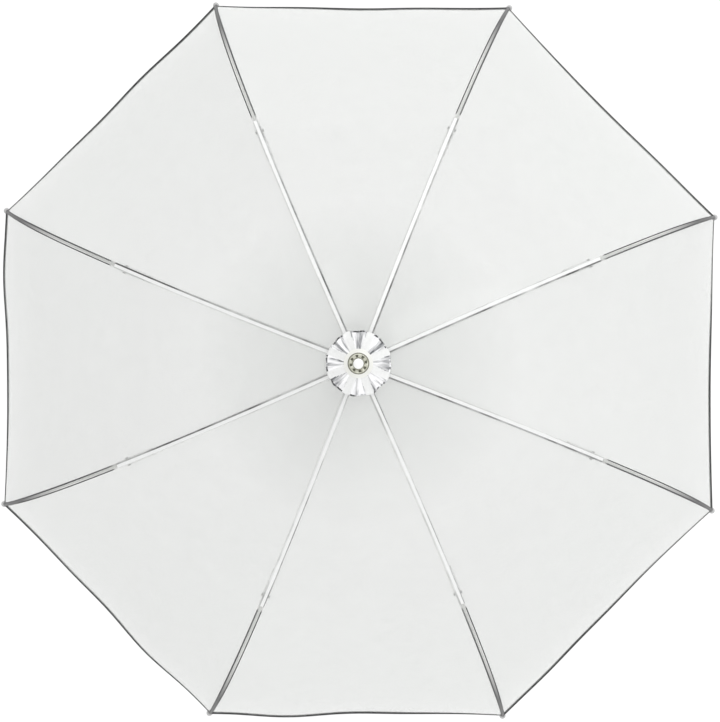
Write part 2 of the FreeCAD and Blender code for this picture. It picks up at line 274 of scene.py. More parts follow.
def drawnStreaks():
    # long streaks down a drawn wire or tube
    group, entry, leave = socketed(
        "drawnStreaks",
        [("Vector", "NodeSocketVector", None), ("Scale", "NodeSocketFloat", 900.0),
         ("Stretch", "NodeSocketVector", (1.0, 1.0, 0.03))],
        [("Mask", "NodeSocketFloat"), ("Height", "NodeSocketFloat")])
    nodes, links = group.nodes, group.links
    pull = nodes.new("ShaderNodeVectorMath")
    pull.operation = "MULTIPLY"
    streak = nodes.new("ShaderNodeTexNoise")
    streak.inputs["Detail"].default_value = 5
    streak.inputs["Roughness"].default_value = 0.65
    links.new(entry.outputs["Vector"], pull.inputs[0])
    links.new(entry.outputs["Stretch"], pull.inputs[1])
    links.new(pull.outputs["Vector"], streak.inputs["Vector"])
    links.new(entry.outputs["Scale"], streak.inputs["Scale"])
    links.new(streak.outputs["Fac"], leave.inputs["Mask"])
    links.new(streak.outputs["Fac"], leave.inputs["Height"])
    return group


def handlingMarks():
    # thin scuffs and specks from use
    group, entry, leave = socketed(
        "handlingMarks",
        [("Vector", "NodeSocketVector", None), ("Scale", "NodeSocketFloat", 120.0)],
        [("Marks", "NodeSocketFloat")])
    nodes, links = group.nodes, group.links
    cells = nodes.new("ShaderNodeTexVoronoi")
    cells.feature = "DISTANCE_TO_EDGE"
    patches = nodes.new("ShaderNodeTexNoise")
    patches.inputs["Scale"].default_value = 18
    thin = nodes.new("ShaderNodeMapRange")
    thin.inputs["From Max"].default_value = 0.04
    thin.inputs["To Min"].default_value = 1
    thin.inputs["To Max"].default_value = 0
    some = nodes.new("ShaderNodeMapRange")
    some.inputs["From Min"].default_value = 0.5
    some.inputs["From Max"].default_value = 0.7
    both = nodes.new("ShaderNodeMath")
    both.operation = "MULTIPLY"
    links.new(entry.outputs["Vector"], cells.inputs["Vector"])
    links.new(entry.outputs["Scale"], cells.inputs["Scale"])
    links.new(entry.outputs["Vector"], patches.inputs["Vector"])
    links.new(cells.outputs["Distance"], thin.inputs["Value"])
    links.new(patches.outputs["Fac"], some.inputs["Value"])
    links.new(thin.outputs["Result"], both.inputs[0])
    links.new(some.outputs["Result"], both.inputs[1])
    links.new(both.outputs["Value"], leave.inputs["Marks"])
    return group


grainGroup = mouldedGrain()
streakGroup = drawnStreaks()
marksGroup = handlingMarks()


def finish(name, look):
    # one material; look holds its two tones, roughness range and relief
    material = bpy.data.materials.new(name)
    material.use_nodes = True
    nodes, links = material.node_tree.nodes, material.node_tree.links
    shader = nodes["Principled BSDF"]
    places = nodes.new("ShaderNodeTexCoord")
    pattern = places.outputs["Object"]
    if "along" in look:
        own = nodes.new("ShaderNodeAttribute")
        own.attribute_name = look["along"]
        pattern = own.outputs["Vector"]
    surface = nodes.new("ShaderNodeGroup")
    surface.node_tree = streakGroup if look.get("drawn") else grainGroup
    surface.inputs["Scale"].default_value = look["grain"]
    if not look.get("drawn"):
        surface.inputs["Cloud Scale"].default_value = look.get("clouds", 30)
    marks = nodes.new("ShaderNodeGroup")
    marks.node_tree = marksGroup
    for user in (surface, marks):
        links.new(pattern, user.inputs["Vector"])
    mask = surface.outputs["Mask"]
    if "contrast" in look:
        mask = ranged(material, mask, look["contrast"], (0, 1))
    colour = mixed(material, mask, look["colour"], look["shade"])
    worn = nodes.new("ShaderNodeMath")
    worn.operation = "MULTIPLY"
    worn.inputs[1].default_value = look.get("wear", 0.3)
    links.new(marks.outputs["Marks"], worn.inputs[0])
    colour = mixed(material, worn.outputs["Value"], colour, look.get("worn", look["shade"]))
    if "rimward" in look:  # changes tone with the distance from the shaft
        outward = ranged(material, fromShaft(material, places), look["rimward"], (0, 1))
        colour = mixed(material, outward, colour, look["rimTone"])
    links.new(colour, shader.inputs["Base Color"])
    links.new(ranged(material, surface.outputs["Mask"], (0, 1), look["rough"]),
              shader.inputs["Roughness"])
    relief = nodes.new("ShaderNodeBump")
    relief.inputs["Strength"].default_value = look.get("relief", 0.3)
    relief.inputs["Distance"].default_value = look.get("depth", 0.00004)
    links.new(surface.outputs["Height"], relief.inputs["Height"])
    links.new(relief.outputs["Normal"], shader.inputs["Normal"])
    shader.inputs["Metallic"].default_value = look.get("metal", 0)
    shader.inputs["IOR"].default_value = look.get("ior", 1.46)
    shader.inputs["Coat Weight"].default_value = look.get("coat", 0)
    if "clear" in look:
        links.new(clearness(material, places, surface, look["clear"]), shader.inputs["Alpha"])
    return material


def mixed(material, share, first, second):
    # the second is a plain colour, and the first is a colour or another node's output
    node = material.node_tree.nodes.new("ShaderNodeMix")
    node.data_type = "RGBA"
    node.inputs["B"].default_value = (*second, 1)
    if isinstance(first, tuple):
        node.inputs["A"].default_value = (*first, 1)
    else:
        material.node_tree.links.new(first, node.inputs["A"])
    material.node_tree.links.new(share, node.inputs["Factor"])
    return node.outputs["Result"]


def ranged(material, value, given, wanted):
    node = material.node_tree.nodes.new("ShaderNodeMapRange")
    node.inputs["From Min"].default_value, node.inputs["From Max"].default_value = given
    node.inputs["To Min"].default_value, node.inputs["To Max"].default_value = wanted
    material.node_tree.links.new(value, node.inputs["Value"])
    return node.outputs["Result"]


def fromShaft(material, places):
    nodes, links = material.node_tree.nodes, material.node_tree.links
    level = nodes.new("ShaderNodeVectorMath")
    level.operation = "MULTIPLY"
    level.inputs[1].default_value = (1, 1, 0)
    reach = nodes.new("ShaderNodeVectorMath")
    reach.operation = "LENGTH"
    links.new(places.outputs["Object"], level.inputs[0])
    links.new(level.outputs["Vector"], reach.inputs[0])
    return reach.outputs["Value"]


def clearness(material, places, surface, clear):
    # see-through film: thin where seen square on, thicker towards grazing, and more opaque by the
    # hub as painted shade
    nodes, links = material.node_tree.nodes, material.node_tree.links
    facing = nodes.new("ShaderNodeLayerWeight")
    facing.inputs["Blend"].default_value = clear["blend"]
    parts = [
        ranged(material, facing.outputs["Facing"], (0, 1), (clear["square"], clear["graze"])),
        ranged(material, surface.outputs["Mask"], (0.3, 0.7), (-clear["haze"], clear["haze"]))]
    # painted shade: the film turns more opaque, so darker, towards the hub
    if "hub" in clear:
        parts.append(ranged(material, fromShaft(material, places), clear["hubRange"],
                            (clear["hub"], 0)))
    total = parts[0]
    for part in parts[1:]:
        plus = nodes.new("ShaderNodeMath")
        plus.use_clamp = True
        links.new(total, plus.inputs[0])
        links.new(part, plus.inputs[1])
        total = plus.outputs["Value"]
    return total


# clearFilm's hub term darkens the film near the hub as painted shade
clearFilm = finish("clearFilm", {
    "colour": (0.48, 0.515, 0.485), "shade": (0.55, 0.545, 0.54), "grain": 60, "clouds": 5,
    "rough": (0.06, 0.16), "relief": 0.05, "depth": 0.0004, "ior": 1.45, "wear": 0.1,
    "clear": {"blend": 0.35, "square": 0.20, "graze": 0.42, "haze": 0.015, "hub": 0.19,
              "hubRange": (0.02, 0.17)}})
clearRim = finish("clearRim", {  # the cut edges of the film, all but unseen
    "colour": (0.80, 0.81, 0.80), "shade": (0.86, 0.86, 0.86), "grain": 60, "clouds": 5,
    "rough": (0.5, 0.7), "relief": 0.05, "ior": 1.1,
    "clear": {"blend": 0.35, "square": 0.02, "graze": 0.03, "haze": 0.005}})
weldWhite = finish("weldWhite", {
    "colour": (0.93, 0.93, 0.92), "shade": (0.85, 0.86, 0.86), "grain": 500,
    "rough": (0.25, 0.4), "relief": 0.2,
    "clear": {"blend": 0.4, "square": 0.75, "graze": 0.95, "haze": 0.08}})
# one seam bead in two copies: the dark one is painted shade, the pale one below is the painted lit
# side
weldBeadShaded = finish("weldBeadShaded", {
    "colour": (0.09, 0.09, 0.09), "shade": (0.66, 0.67, 0.66), "grain": 30, "clouds": 7,
    "contrast": (0.40, 0.60), "rough": (0.35, 0.5), "relief": 0.2, "ior": 1.3,
    "clear": {"blend": 0.4, "square": 0.8, "graze": 0.95, "haze": 0.1}})
weldBeadLit = finish("weldBeadLit", {
    "colour": (0.40, 0.41, 0.40), "shade": (0.74, 0.75, 0.74), "grain": 30, "clouds": 9,
    "contrast": (0.36, 0.56), "rough": (0.35, 0.5), "relief": 0.2, "ior": 1.3,
    "clear": {"blend": 0.4, "square": 0.7, "graze": 0.9, "haze": 0.1}})
# its middle darkens towards the rim: painted shade where the seam turns steeply away
weldClear = finish("weldClear", {
    "colour": (0.92, 0.92, 0.90), "shade": (0.84, 0.84, 0.82), "grain": 300,
    "rough": (0.3, 0.45), "relief": 0.2, "ior": 1.3,
    "rimward": (0.330, 0.400), "rimTone": (0.09, 0.09, 0.09),
    "clear": {"blend": 0.4, "square": 0.85, "graze": 1.0, "haze": 0.05}})


def rodWeld(name, rimTone, square):
    # a bead beside the rod, pale under the sleeve's end and dark from there to the rim
    return finish(name, {
        "colour": (0.70, 0.70, 0.69), "shade": (0.60, 0.60, 0.59), "grain": 300, "clouds": 14,
        "rough": (0.45, 0.6), "relief": 0.25, "ior": 1.2,
        "rimward": (0.2795, 0.2825), "rimTone": rimTone,
        "clear": {"blend": 0.4, "square": square, "graze": 1.0, "haze": 0.05}})


# the same rod bead twice: the darker copy is painted shade, the other the painted lit side
rodWeldShaded = rodWeld("rodWeldShaded", (0.03, 0.03, 0.031), 0.95)
rodWeldLit = rodWeld("rodWeldLit", (0.08, 0.08, 0.082), 0.9)
hemDark = finish("hemDark", {
    "colour": (0.035, 0.035, 0.036), "shade": (0.07, 0.07, 0.072), "grain": 500, "clouds": 20,
    "rough": (0.45, 0.6), "relief": 0.3, "ior": 1.2})
# darker towards the tip: painted shade on the rod's steep outer run
rodFibre = finish("rodFibre", {
    "colour": (0.84, 0.84, 0.81), "shade": (0.76, 0.76, 0.73), "grain": 700,
    "rough": (0.3, 0.5), "relief": 0.3, "rimward": (0.330, 0.400), "rimTone": (0.10, 0.10, 0.10)})
ribPaint = finish("ribPaint", {
    "colour": (0.88, 0.88, 0.87), "shade": (0.8, 0.8, 0.8), "grain": 700,
    "rough": (0.22, 0.38), "relief": 0.25, "worn": (0.45, 0.45, 0.44), "wear": 0.35})
shaftSteel = finish("shaftSteel", {
    "colour": (0.72, 0.72, 0.73), "shade": (0.55, 0.55, 0.56), "grain": 900, "drawn": True,
    "rough": (0.16, 0.32), "relief": 0.2, "metal": 1})
wireSteel = finish("wireSteel", {
    "colour": (0.66, 0.66, 0.66), "shade": (0.5, 0.5, 0.5), "grain": 900,
    "rough": (0.25, 0.45), "relief": 0.2, "metal": 1})
whitePlastic = finish("whitePlastic", {
    "colour": (0.88, 0.88, 0.87), "shade": (0.82, 0.82, 0.81), "grain": 900,
    "rough": (0.28, 0.42), "relief": 0.2, "coat": 0.1})
sleevePlastic = finish("sleevePlastic", {
    "colour": (0.82, 0.82, 0.81), "shade": (0.72, 0.73, 0.72), "grain": 800,
    "rough": (0.3, 0.45), "relief": 0.25})
capPlastic = finish("capPlastic", {
    "colour": (0.30, 0.30, 0.23), "shade": (0.66, 0.66, 0.57), "grain": 500, "clouds": 260,
    "contrast": (0.38, 0.62), "rough": (0.18, 0.32), "relief": 0.3, "coat": 0.25})
beadPlastic = finish("beadPlastic", {
    "colour": (0.40, 0.40, 0.40), "shade": (0.54, 0.54, 0.54), "grain": 600,
    "rough": (0.25, 0.4), "relief": 0.2, "coat": 0.2, "ior": 1.35,
    "clear": {"blend": 0.5, "square": 0.75, "graze": 1.0, "haze": 0.05}})
pinDark = finish("pinDark", {
    "colour": (0.12, 0.12, 0.12), "shade": (0.2, 0.2, 0.2), "grain": 900,
    "rough": (0.3, 0.5), "relief": 0.2, "metal": 1})
print("materials ready")

# film: sixteen panels, two to a gore

film = {
    "across": 28, "along": 40,
    "thickness": 0.0003,
    "crownGap": 0.0070, "crownRun": 0.024,  # held off the hub, then down onto the ribs
    "ribGap": 0.0034, "rimGap": 0.0018,  # outside the ribs' middle line
    "rimShort": 0.0148,  # the hem stops this far before the rod's end
    "sag": 0.012,  # share of the width that the middle of a gore dips
    "ripple": 0.0007, "rippleSize": 7.0, "rippleShift": 3,  # two ripples, the second set apart
    "crownSpare": 1.02,  # an upper panel is cut this much longer, to reach under the rosette
    "slackFrom": 0.55, "slackWidth": 0.35,  # share of the rib's length, and spread of a belly
    # where the rim of each gore bellies out, from -1 to 1 across it, and how far
    "slack": [[(-0.5, 0.0015)], [(-0.4, 0.0020), (0.4, 0.0020)], [(-0.3, 0.0040), (0.4, 0.0020)],
              [(-0.6, 0.0062), (0.0, 0.0010)], [(0.4, 0.0075), (-0.3, 0.0030)],
              [(-0.5, 0.0068), (0.3, 0.0020)], [(-0.6, 0.0035), (0.0, 0.0020)], [(0.4, 0.0010)]],
    "folded": {"upper": 0.13, "lower": 0.115},  # share of the width left when closed
}
rimDistance = ribLength - film["rimShort"]
sleeveDistance = innerBack["length"]


def smoothStep(value):
    value = min(max(value, 0), 1)
    return value * value * (3 - 2 * value)


def gapAt(distance):
    crown = film["crownGap"] * (1 - smoothStep(distance / film["crownRun"]))
    down = smoothStep((distance - sleeveDistance) / (rimDistance - sleeveDistance))
    run = film["ribGap"] + (film["rimGap"] - film["ribGap"]) * down
    return max(run, crown + run * smoothStep(distance / film["crownRun"]))


def filmEdge(distance):
    place, heading = ribPoint(distance)
    out = outOf(heading)
    return place + out * gapAt(distance), out


def slackAt(gore, distance, across):
    belly = sum(reach * math.exp(-((across - place) / film["slackWidth"]) ** 2)
                for place, reach in film["slack"][gore - 1])
    low = smoothStep((distance / rimDistance - film["slackFrom"]) / (1 - film["slackFrom"]))
    return belly * low * math.sqrt(max(0, 1 - across * across))


def filmPoint(gore, distance, across):
    # across runs from -1 on the first rib to 1 on the next
    step = turnedAboutShaft(1).to_3x3()
    first, firstOut = filmEdge(distance)
    second, secondOut = step @ first, step @ firstOut
    out = (firstOut + secondOut).normalized()
    dip = film["sag"] * (second - first).length * (1 - across * across)
    place = first.lerp(second, (across + 1) / 2) - out * dip
    wave = noise.noise(place * film["rippleSize"]) * (1 - across ** 4) * film["ripple"]
    return place + out * (wave + slackAt(gore, distance, across))


def filmPanel(gore, part, begin, end, body, nodeName):
    # rides and stands for its node, and gives back its flat size and area
    clearSelection()
    bpy.ops.mesh.primitive_grid_add(x_subdivisions=film["along"], y_subdivisions=film["across"],
                                    size=1)
    panel = nameIt(f"film_{gore}_{part}")
    spin = turnedAboutShaft(gore - 1).to_3x3()
    for vertex in panel.data.vertices:
        distance, across = begin + (end - begin) * (vertex.co.x + 0.5), vertex.co.y * 2
        place = filmPoint(gore, distance, across)
        ripple = noise.noise((spin @ place) * film["rippleSize"] + up * film["rippleShift"])
        rise = ripple * film["ripple"] * (1 - across ** 4)
        vertex.co = spin @ (place + outOf(ribPoint(distance)[1]) * rise)
    area = sum(face.area for face in panel.data.polygons)
    reach = max(filmPoint(gore, distance, 1).xy.length for distance in (begin, end))
    flat = (2 * reach * math.sin(goreStep / 2), end - begin)
    dress(panel, clearFilm, clearRim)
    withModifier(panel, "SOLIDIFY", thickness=film["thickness"], offset=0, use_rim=True,
                 material_offset_rim=1)
    smoothByAngle(panel, 30)
    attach(panel, body)
    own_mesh(panel)
    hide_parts(nodeName)
    return panel, flat, area


hem = {"radius": 0.00135, "slim": 0.45, "points": 25}  # slim is the share left at the far end


def hemOf(gore):
    # dark piping welded round the free edge
    clearSelection()
    bpy.ops.curve.primitive_nurbs_path_add()
    path = bpy.context.active_object
    spline = path.data.splines[0]
    spline.points.add(hem["points"] - len(spline.points))
    spline.order_u = 3
    spline.use_endpoint_u = True
    spin = turnedAboutShaft(gore - 1).to_3x3()
    last = len(spline.points) - 1
    for number, point in enumerate(spline.points):
        across = -1 + 2 * number / last
        point.co = (*(spin @ filmPoint(gore, rimDistance, across)), 1)
        point.radius = 1 - (1 - hem["slim"]) * smoothStep(across)
    path.data.bevel_depth = hem["radius"]
    path.data.bevel_resolution = 3
    path.data.resolution_u = 12
    path.data.use_fill_caps = True
    bpy.ops.object.convert(target="MESH")
    piece = nameIt(f"hem_{gore}")
    dress(piece, hemDark)
    smoothByAngle(piece, 60)
    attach(piece, f"skirt_{gore}")
    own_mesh(piece)
    return piece


for gore in range(1, gores + 1):
    upper, flat, area = filmPanel(gore, "upper", 0, sleeveDistance, f"gore_{gore}",
                                  f"panel_{gore}_upper")
    flat = (flat[0], flat[1] * film["crownSpare"])
    lower, flat, area = filmPanel(gore, "lower", sleeveDistance, rimDistance, f"skirt_{gore}",
                                  f"panel_{gore}_lower")
    edge = hemOf(gore)
print("film and hem made", round(area, 4), [round(side, 4) for side in flat])

# seams: a welded strip over each rib, with a bead down each edge

seam = {
    "half": 0.0028,  # half the strip's width
    "web": 0.0002, "bead": 0.0005,  # half thickness in the middle and at the edges
    "beadShare": 0.60,  # the bead begins this far out
    "darkShare": 0.50,  # and its dark side here, past the sleeve
    "above": 0.0006,  # middle of the strip above the film
    "start": 0.010,  # well under the rosette
    "taper": 0.34, "taperFrom": 0.45,  # share of the width lost at the tip, and where that starts
    "corners": 28, "steps": 48,
    "squareness": 0.6, "plump": 1.2,  # of the section: flatter ends and fuller beads
    "otherWay": (6, 7),  # ribs whose painted shaded bead is on the other side
}


def seamSection(lift):
    points = []
    for number in range(seam["corners"]):
        angle = 2 * math.pi * number / seam["corners"]
        across = math.copysign(abs(math.cos(angle)) ** seam["squareness"], math.cos(angle))
        bead = smoothStep((abs(across) - seam["beadShare"]) / (1 - seam["beadShare"]) * 2)
        thick = seam["web"] + (seam["bead"] - seam["web"]) * bead
        points.append((across * seam["half"], lift + thick * math.sin(angle) * seam["plump"]))
    return points


def seamColours(piece, arc, edgeShare, *materials):
    # the strip's middle takes the first material, and its two edges the next ones
    dress(piece, *materials)
    lean = ribSide.dot(arc["axis"])
    for face in piece.data.polygons:
        across = (face.center - arc["centre"]).dot(arc["axis"]) / lean
        face.material_index = 0
        if abs(across) > seam["half"] * edgeShare:
            face.material_index = 1 if across > 0 else 2


def seamPiece(name, arc, share, lift, run=None):
    # starts at the rod's pivot, and runs straight first if there is a run
    sectionAt(seamSection(lift), rodPivot, ribSide, outOf(sleeveHeading))
    if run is not None:
        bpy.ops.mesh.extrude_region_move(TRANSFORM_OT_translate={"value": tuple(run)})
    sweepAlong(arc, share, seam["steps"])
    closeAndTurnOut()
    return nameIt(name)


upperSeam = seamPiece("seam_1_upper", innerBack, 1 - seam["start"] / sleeveDistance,
                      film["ribGap"] + seam["above"], sleevePin - rodPivot)
# the upper seam's side beads: the dark one painted in shade, the pale one painted lit
seamColours(upperSeam, innerBack, seam["beadShare"], weldWhite, weldBeadLit, weldBeadShaded)
lowerSeam = seamPiece("seam_1_lower", outerArc, 1 - film["rimShort"] / outerArc["length"],
                      film["rimGap"] + seam["above"])
for vertex in lowerSeam.data.vertices:  # narrower towards the tip
    far = (vertex.co - rodPivot).length / outerArc["length"]
    across = (vertex.co - outerArc["centre"]).dot(outerArc["axis"])
    slim = seam["taper"] * smoothStep((far - seam["taperFrom"]) / (1 - seam["taperFrom"]))
    vertex.co -= outerArc["axis"] * across * slim
# the lower seam's beads: the darker one painted in shade, the other painted lit
seamColours(lowerSeam, outerArc, seam["darkShare"], weldClear, rodWeldShaded, rodWeldLit)

# rod and its tip cap

rod = {"radius": 0.0015, "corners": 14, "steps": 60, "ball": 0.0017}
tipCap = {"outline": [
    (0.0019, 0.0), (0.0026, 0.0002), (0.0029, 0.0008), (0.0029, 0.0020), (0.0026, 0.0025),
    (0.0024, 0.0032), (0.0024, 0.0038), (0.0029, 0.0045), (0.0033, 0.0054), (0.0034, 0.0068),
    (0.0033, 0.0082), (0.0029, 0.0095), (0.0021, 0.0104), (0.0012, 0.0109), (0.0005, 0.0110)]}

turns = [2 * math.pi * number / rod["corners"] for number in range(rod["corners"])]
circle = [(rod["radius"] * math.cos(turn), rod["radius"] * math.sin(turn)) for turn in turns]
sectionAt(circle, rodPivot, ribSide, outOf(sleeveHeading))
sweepAlong(outerArc, 1, rod["steps"])
closeAndTurnOut()
rodPiece = nameIt("rod_1")
clearSelection()
bpy.ops.mesh.primitive_uv_sphere_add(segments=20, ring_count=12, radius=rod["ball"],
                                     location=rodPivot)
ball = nameIt("rod_ball")
clearSelection()
ball.select_set(True)
rodPiece.select_set(True)
bpy.context.view_layer.objects.active = rodPiece
bpy.ops.object.join()
dress(rodPiece, rodFibre)

endPlace, endHeading = onArc(outerArc, 1)
capPiece = turnedPiece("tip_cap_1", tipCap["outline"], 32)
layOnAxis(capPiece, endPlace - endHeading * ribLine["capOver"], endHeading)
dress(capPiece, beadPlastic)

# rivet through the sleeve

sleeveVerts = [v.co.copy() for v in frame["nodes"]["rib_joint_1"].data.vertices]
pinReach = max(abs((place - sleevePin).dot(ribSide)) for place in sleeveVerts)
pin = {"head": 0.0017, "shank": 0.0009, "thick": 0.0005, "dome": 0.00025}
pinOutline = [
    (pin["head"] * 0.45, -pin["dome"]), (pin["head"] * 0.85, -pin["dome"] * 0.6),
    (pin["head"], 0.00005), (pin["head"], pin["thick"]), (pin["shank"], pin["thick"] + 0.00002)]
pinOutline = pinOutline + [(radius, 2 * pinReach - height) for radius, height in pinOutline[::-1]]
pinPiece = turnedPiece("sleeve_pin_1", pinOutline, 24)
layOnAxis(pinPiece, sleevePin - ribSide * pinReach, ribSide)
dress(pinPiece, pinDark)

ribPieces = [(upperSeam, "seam_{}_upper", "rib_{}", "film", 40, None),
             (lowerSeam, "seam_{}_lower", "outer_{}", "film", 40, None),
             (rodPiece, "rod_{}", "outer_{}", "rod_glass_fibre", 50, "outer_rod_{}"),
             (capPiece, "tip_cap_{}", "outer_{}", "cap_plastic", 40, None),
             (pinPiece, "sleeve_pin_{}", "rib_{}", "wire", 30, None)]
for master, name, body, slotName, angle, node in ribPieces:
    smoothByAngle(master, angle)
    for rib in range(1, gores + 1):
        piece = master
        if rib > 1:
            piece = copyOf(master, name.format(rib), turnedAboutShaft(rib - 1))
        if master is upperSeam and rib in seam["otherWay"]:  # its painted shaded and lit beads change places
            piece.data.materials[1], piece.data.materials[2] = weldBeadShaded, weldBeadLit
        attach(piece, body.format(rib))
        if node:
            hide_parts(node.format(rib))
print("seams, rods, caps and pins made")

# rosette: a gathered film collar under the cap

rosetteLow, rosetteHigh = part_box("rosette")
rosette = {
    "inner": 0.0062, "outer": rosetteHigh.x * 1.045, "corners": 240, "rings": 16,
    "pleats": 21, "rise": 0.0030, "swirl": 0.10, "flutter": 0.04, "corner": 0.5,
    "uneven": ((3, 1.3, 0), (7, 0.9, 1)),  # waves round it that make the pleats uneven
    "fold": 0.55, "crumple": 0.75, "crumpleSize": 6, "crumpleRun": 2.2,
    "inRise": 0.12,  # share of the rise at the inner edge
    "flutterSize": 4, "flutterShift": 5, "streakRun": 0.16,
    "thickness": 0.00025, "edge": 0.0016,
    "band": 0.0039,  # half width of the plain white band over each rib
    "gathered": 1.05,  # flat size over the finished one
}
rosetteSlope = (rosetteHigh.z - rosetteLow.z) / (rosette["outer"] - rosette["inner"])


def fromRib(angle, share):
    # 1 at the side of the white band that lies over each rib
    radius = rosette["inner"] + (rosette["outer"] - rosette["inner"]) * share
    return abs(radius * math.sin(angle % goreStep - goreStep / 2)) / rosette["band"]


def pleated(angle, share):
    # triangular pleats of uneven width, deeper towards the edge, with a slight swirl
    turn = angle + rosette["swirl"] * share
    phase = rosette["pleats"] * turn
    for waves, size, shift in rosette["uneven"]:
        phase += size * math.sin(waves * turn + shift)
    ridge = math.asin(math.sin(phase)) * 2 / math.pi
    around = Vector((math.cos(angle), math.sin(angle), 0)) * rosette["crumpleSize"]
    crumple = noise.noise(around + up * share * rosette["crumpleRun"])
    deep = rosette["inRise"] + (1 - rosette["inRise"]) * share ** 1.1
    besideBand = smoothStep(fromRib(angle, share) / 2)
    height = rosette["fold"] * ridge + rosette["crumple"] * crumple
    return rosette["rise"] * deep * besideBand * height


clearSelection()
bpy.ops.mesh.primitive_circle_add(vertices=rosette["corners"], radius=rosette["inner"],
                                  fill_type="NOTHING")
openForEdit()
step = (rosette["outer"] - rosette["inner"]) / rosette["rings"]
for ring in range(rosette["rings"]):
    radius = rosette["inner"] + step * ring
    bpy.ops.mesh.extrude_region_move(TRANSFORM_OT_translate={"value": (0, 0, 0)})
    grow = (radius + step) / radius
    bpy.ops.transform.resize(value=(grow, grow, 1), center_override=(0, 0, 0))
rosettePiece = nameIt("rosette_film")


def raggedEdge(angle):
    # straight runs between the ribs, a little uneven
    fromMiddle = (angle + goreStep / 2) % goreStep - goreStep / 2
    straight = math.cos(goreStep / 2) / math.cos(fromMiddle)
    around = Vector((math.cos(angle), math.sin(angle), 0)) * rosette["flutterSize"]
    uneven = noise.noise(around + up * rosette["flutterShift"]) - 0.2
    return 1 + (straight - 1) * rosette["corner"] + uneven * rosette["flutter"]


# "polar" draws the streaks of painted crease shade out from the middle
polar = rosettePiece.data.attributes.new("polar", "FLOAT_VECTOR", "POINT")
for vertex in rosettePiece.data.vertices:
    radius, angle = vertex.co.xy.length, math.atan2(vertex.co.y, vertex.co.x)
    share = max(0, (radius - rosette["inner"]) / (rosette["outer"] - rosette["inner"]))
    streak = (math.cos(angle), math.sin(angle), share * rosette["streakRun"])
    polar.data[vertex.index].vector = streak
    radius *= 1 + (raggedEdge(angle) - 1) * share ** 2
    level = rosetteHigh.z - rosetteSlope * (radius - rosette["inner"]) + pleated(angle, share)
    vertex.co = (radius * math.cos(angle), radius * math.sin(angle), level)
withModifier(rosettePiece, "SOLIDIFY", thickness=rosette["thickness"], offset=0, use_rim=True)
# dark streaks on white film: painted shade in the creases
crinkleFilmCreaseShade = finish("crinkleFilmCreaseShade", {
    "colour": (0.13, 0.14, 0.15), "shade": (0.97, 0.97, 0.98), "grain": 9, "clouds": 4,
    "along": "polar", "contrast": (0.40, 0.53), "wear": 0,
    "rough": (0.05, 0.2), "relief": 0.3, "depth": 0.0003, "coat": 0.3,
    "clear": {"blend": 0.45, "square": 0.75, "graze": 0.95, "haze": 0.2}})
crinkleEdge = finish("crinkleEdge", {
    "colour": (0.03, 0.03, 0.035), "shade": (0.85, 0.86, 0.87), "grain": 12, "clouds": 3,
    "along": "polar", "contrast": (0.48, 0.60), "wear": 0,
    "rough": (0.2, 0.4), "relief": 0.3,
    "clear": {"blend": 0.45, "square": 0.8, "graze": 1.0, "haze": 0.2}})
dress(rosettePiece, crinkleFilmCreaseShade, crinkleEdge, weldWhite)
edgeFrom = rosette["outer"] - rosette["edge"]
for face in rosettePiece.data.polygons:
    angle, radius = math.atan2(face.center.y, face.center.x), face.center.xy.length
    share = (radius - rosette["inner"]) / (rosette["outer"] - rosette["inner"])
    face.material_index = 1 if radius > edgeFrom * raggedEdge(angle) else 0
    if fromRib(angle, share) < 1:
        face.material_index = 2
    face.use_smooth = True
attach(rosettePiece, "root")
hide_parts("rosette")

# cap and ferrule

capLow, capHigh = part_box("top_cap")
cap = {"rim": capHigh.x, "boss": 0.0100, "well": 0.0058,
       "sides": 64, "pockets": 8, "pocketFaces": 4, "pocketWall": 0.0002, "pocketDepth": 0.0016,
       "shadowGap": 0.0008}  # a painted shadow line round the boss
foot, top = capLow.z, capHigh.z
rim, boss, well = cap["rim"], cap["boss"], cap["well"]
capOutline = [
    (well, foot + 0.0030), (rim - 0.0010, foot), (rim - 0.0002, foot + 0.0002),
    (rim, foot + 0.0006), (rim - 0.0003, foot + 0.0011), (rim - 0.0012, foot + 0.0014),
    (boss + 0.0010, foot + 0.0027), (boss + 0.0002, foot + 0.0032), (boss, foot + 0.0040),
    (boss - 0.0002, top - 0.0006), (boss - 0.0009, top), (well + 0.0004, top),
    (well, top - 0.0004), (well - 0.0010, top - 0.0012)]


def sideNumber(face, sides):
    # which side of a turned piece the face is on, counted round from x
    angle = math.degrees(math.atan2(face.center.y, face.center.x)) % 360
    return int(angle / (360 / sides))


crownCap = turnedPiece("crown_cap", capOutline, cap["sides"])
creamPlastic = finish("creamPlastic", {
    "colour": (0.80, 0.80, 0.77), "shade": (0.70, 0.70, 0.66), "grain": 600,
    "rough": (0.2, 0.35), "relief": 0.25, "coat": 0.2})
# near black: painted shade in the pockets and a painted shadow line round the boss
pocketShade = finish("pocketShade", {
    "colour": (0.10, 0.10, 0.08), "shade": (0.22, 0.22, 0.16), "grain": 900,
    "rough": (0.4, 0.6), "relief": 0.3})
dress(crownCap, capPlastic, creamPlastic, pocketShade)
perPocket = cap["sides"] // cap["pockets"]
openForEdit()
bpy.ops.mesh.select_mode(type="FACE")
bpy.ops.mesh.select_all(action="DESELECT")
bpy.ops.object.mode_set(mode="OBJECT")
for face in crownCap.data.polygons:
    radius = face.center.xy.length
    onTop = face.normal.z > 0.99 and well < radius < boss
    face.select = onTop and sideNumber(face, cap["sides"]) % perPocket < cap["pocketFaces"]
    face.material_index = 1 if radius > boss + cap["shadowGap"] else 0
    # painted shadow round the foot of the boss
    if boss - 0.0001 < radius < boss + cap["shadowGap"]:
        face.material_index = 2
bpy.ops.object.mode_set(mode="EDIT")
bpy.ops.mesh.inset(thickness=cap["pocketWall"])
